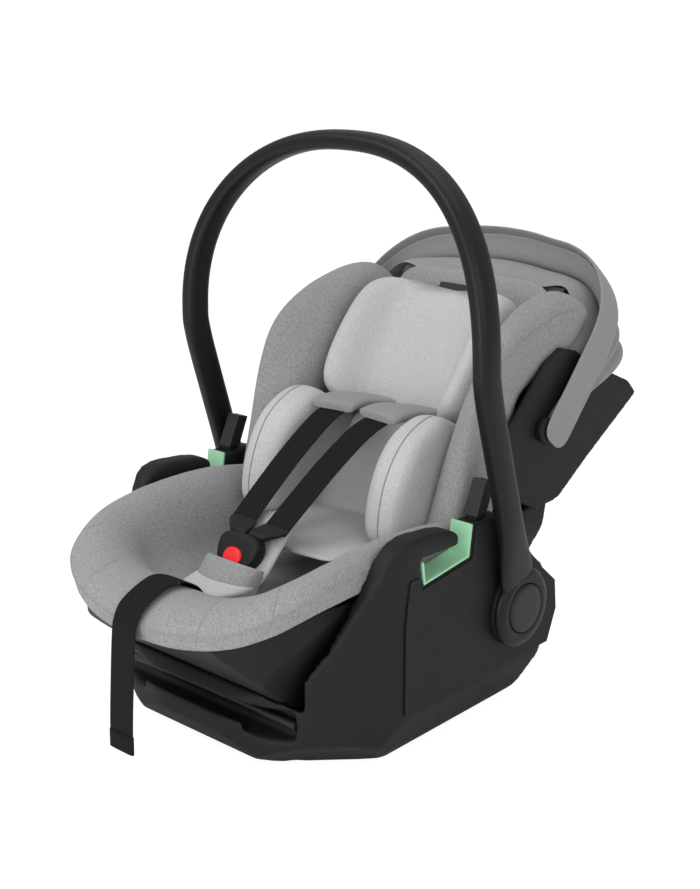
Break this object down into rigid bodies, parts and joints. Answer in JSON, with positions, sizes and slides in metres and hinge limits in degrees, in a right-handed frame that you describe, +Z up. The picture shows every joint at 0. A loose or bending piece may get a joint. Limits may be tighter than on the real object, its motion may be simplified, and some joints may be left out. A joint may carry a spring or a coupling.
{
  "type": "infant car seat",
  "caption": "Rear-facing infant carrier with a turning carry handle, reclining bucket, sliding headrest, harness, folding canopy and vehicle belt guides.",
  "frame": {"origin": "middle of the flat face under the base", "axes": "+Z up, the sitter faces -Y, +X to the sitter's left"},
  "size_m": [0.444, 0.6856, 0.616],
  "materials": {
    "black_plastic": "fine grain, satin",
    "handle_plastic": "fine grain, satin",
    "green_plastic": "smooth",
    "slate_plastic": "smooth",
    "red_plastic": "smooth",
    "steel": "brushed",
    "foam": "moulded bead foam",
    "cover_fabric": "melange knit",
    "insert_fabric": "soft melange knit",
    "pad_fabric": "smooth jersey",
    "canopy_fabric": "smooth woven cloth",
    "webbing": "woven webbing"
  },
  "bodies": {
    "base": {"base_tub": "black_plastic", "side_panel_right": "black_plastic", "side_panel_left": "black_plastic", "hub_boss_right": "black_plastic", "hub_boss_left": "black_plastic", "belt_guide_right": "green_plastic", "belt_guide_left": "green_plastic", "handle_pivot_pin_right": "steel", "handle_pivot_pin_left": "steel", "front_latch_bar": "steel"},
    "handle": {"handle_arch": "handle_plastic", "handle_hub_right": "handle_plastic", "handle_hub_left": "handle_plastic"},
    "hub_button_right": {"hub_button_right": "slate_plastic"},
    "hub_button_left": {"hub_button_left": "slate_plastic"},
    "release_lever_right": {"release_lever_right": "slate_plastic"},
    "release_lever_left": {"release_lever_left": "slate_plastic"},
    "seat": {"seat_bucket": "black_plastic", "foam_liner": "foam", "seat_pad": "cover_fabric", "back_shell": "black_plastic", "back_foam": "foam", "back_pad": "cover_fabric", "side_wing_right": "cover_fabric", "side_wing_left": "cover_fabric", "seat_rim": "cover_fabric", "newborn_insert": "insert_fabric", "shoulder_strap_right": "webbing", "shoulder_strap_left": "webbing", "shoulder_pad_right": "pad_fabric", "shoulder_pad_left": "pad_fabric", "buckle_tongue_right": "slate_plastic", "buckle_tongue_left": "slate_plastic", "buckle_housing": "black_plastic", "crotch_pad": "pad_fabric", "adjuster_strap": "webbing", "canopy_rear_bow": "canopy_fabric", "canopy_pivot_right": "black_plastic", "canopy_pivot_left": "black_plastic"},
    "buckle_button": {"buckle_button": "red_plastic"},
    "headrest": {"headrest_plate": "black_plastic", "headrest_pad": "insert_fabric"},
    "headrest_lever": {"headrest_lever": "slate_plastic"},
    "canopy_mid": {"canopy_mid_bow": "canopy_fabric", "canopy_cloth_rear": "canopy_fabric"},
    "canopy_front": {"canopy_front_bow": "canopy_fabric", "canopy_cloth_front": "canopy_fabric"}
  },
  "joints": [
    {"name": "handle_turn", "type": "hinge", "parent": "base", "child": "handle", "pos_m": [0, 0.11, 0.121], "axis": [-1, 0, 0], "range_deg": [0, 105]},
    {"name": "hub_button_right_press", "type": "slide", "parent": "handle", "child": "hub_button_right", "axis": [-1, 0, 0], "range_m": [0, 0.003], "stiffness_N_per_m": 400},
    {"name": "hub_button_left_press", "type": "slide", "parent": "handle", "child": "hub_button_left", "axis": [1, 0, 0], "range_m": [0, 0.003], "stiffness_N_per_m": 400},
    {"name": "release_lever_right_pull", "type": "slide", "parent": "base", "child": "release_lever_right", "axis": [0, 0, 1], "range_m": [0, 0.012], "stiffness_N_per_m": 250},
    {"name": "release_lever_left_pull", "type": "slide", "parent": "base", "child": "release_lever_left", "axis": [0, 0, 1], "range_m": [0, 0.012], "stiffness_N_per_m": 250},
    {"name": "seat_recline", "type": "hinge", "parent": "base", "child": "seat", "pos_m": [0, 0.02, 0.33], "axis": [-1, 0, 0], "range_deg": [0, 14]},
    {"name": "buckle_press", "type": "slide", "parent": "seat", "child": "buckle_button", "axis": [0, 0.8752, -0.4837], "range_m": [0, 0.003], "stiffness_N_per_m": 400},
    {"name": "headrest_height", "type": "slide", "parent": "seat", "child": "headrest", "axis": [0, 0.5349, 0.8449], "range_m": [0, 0.06]},
    {"name": "headrest_lever_pull", "type": "slide", "parent": "headrest", "child": "headrest_lever", "axis": [0, 0.5349, 0.8449], "range_m": [0, 0.008], "stiffness_N_per_m": 300},
    {"name": "canopy_mid_turn", "type": "hinge", "parent": "seat", "child": "canopy_mid", "pos_m": [0, 0.194, 0.294], "axis": [1, 0, 0], "range_deg": [0, 48]},
    {"name": "canopy_front_turn", "type": "hinge", "parent": "canopy_mid", "child": "canopy_front", "pos_m": [0, 0.194, 0.294], "axis": [1, 0, 0], "range_deg": [0, 48]}
  ],
  "couplings": [
    {"joint": "canopy_front_turn", "follows": "canopy_mid_turn", "ratio": 1}
  ]
}
